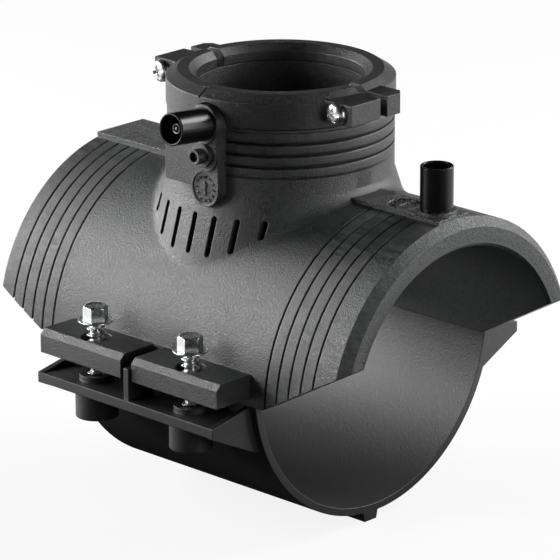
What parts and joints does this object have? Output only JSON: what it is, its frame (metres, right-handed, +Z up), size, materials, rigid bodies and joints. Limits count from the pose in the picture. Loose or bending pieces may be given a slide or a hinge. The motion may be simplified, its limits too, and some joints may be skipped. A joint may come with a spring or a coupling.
{
  "type": "tapping saddle",
  "caption": "Electrofusion branch saddle: half-pipe body with upright branch socket, clamp ring, weld terminals and a screwed-up lower clamp for a plastic main.",
  "frame": {"origin": "on the main pipe's axis, straight under the branch socket's axis", "axes": "+X along the main pipe towards the upright terminal, +Z up the branch socket, -Y the side with the terminal panel"},
  "size_m": [0.1818, 0.1686, 0.1684],
  "materials": {
    "black_pe_grained": "fine spark-eroded grain, satin black",
    "black_pe_smooth": "smooth satin black",
    "black_shroud": "semi-gloss black",
    "zinc_steel": "bright zinc plated",
    "pin_brass": "bright turned",
    "heating_wire": "bare resistance wire"
  },
  "bodies": {
    "saddle": {"saddle_body": "black_pe_grained", "socket_terminal_shroud": "black_shroud", "socket_terminal_pin": "pin_brass", "saddle_terminal_shroud": "black_shroud", "saddle_terminal_pin": "pin_brass", "socket_heating_coil": "heating_wire", "saddle_heating_mat": "heating_wire"},
    "clamp": {"lower_clamp": "black_pe_smooth"},
    "ring_front": {"clamp_ring_front": "black_pe_grained", "ring_screw_left": "zinc_steel", "ring_screw_right": "zinc_steel"},
    "ring_rear": {"clamp_ring_rear": "black_pe_grained"},
    "indicator": {"fusion_indicator": "black_shroud"},
    "clamp_screw_front_left": {"clamp_screw_front_left": "zinc_steel"},
    "clamp_screw_front_right": {"clamp_screw_front_right": "zinc_steel"},
    "clamp_screw_rear_left": {"clamp_screw_rear_left": "zinc_steel"},
    "clamp_screw_rear_right": {"clamp_screw_rear_right": "zinc_steel"}
  },
  "joints": [
    {"name": "lower_clamp_slide", "type": "slide", "parent": "saddle", "child": "clamp", "axis": [0, 0, -1], "range_m": [0, 0.0056]},
    {"name": "clamp_screw_front_left_travel", "type": "slide", "parent": "saddle", "child": "clamp_screw_front_left", "axis": [0, 0, 1], "range_m": [-0.0056, 0.004]},
    {"name": "clamp_screw_front_right_travel", "type": "slide", "parent": "saddle", "child": "clamp_screw_front_right", "axis": [0, 0, 1], "range_m": [-0.0056, 0.004]},
    {"name": "clamp_screw_rear_left_travel", "type": "slide", "parent": "saddle", "child": "clamp_screw_rear_left", "axis": [0, 0, 1], "range_m": [-0.0056, 0.004]},
    {"name": "clamp_screw_rear_right_travel", "type": "slide", "parent": "saddle", "child": "clamp_screw_rear_right", "axis": [0, 0, 1], "range_m": [-0.0056, 0.004]},
    {"name": "ring_front_slide", "type": "slide", "parent": "saddle", "child": "ring_front", "axis": [0, -1, 0], "range_m": [0, 0.0012]},
    {"name": "ring_rear_slide", "type": "slide", "parent": "saddle", "child": "ring_rear", "axis": [0, 1, 0], "range_m": [0, 0.0012]},
    {"name": "indicator_rise", "type": "slide", "parent": "saddle", "child": "indicator", "axis": [0, -1, 0], "range_m": [0, 0.002]}
  ]
}
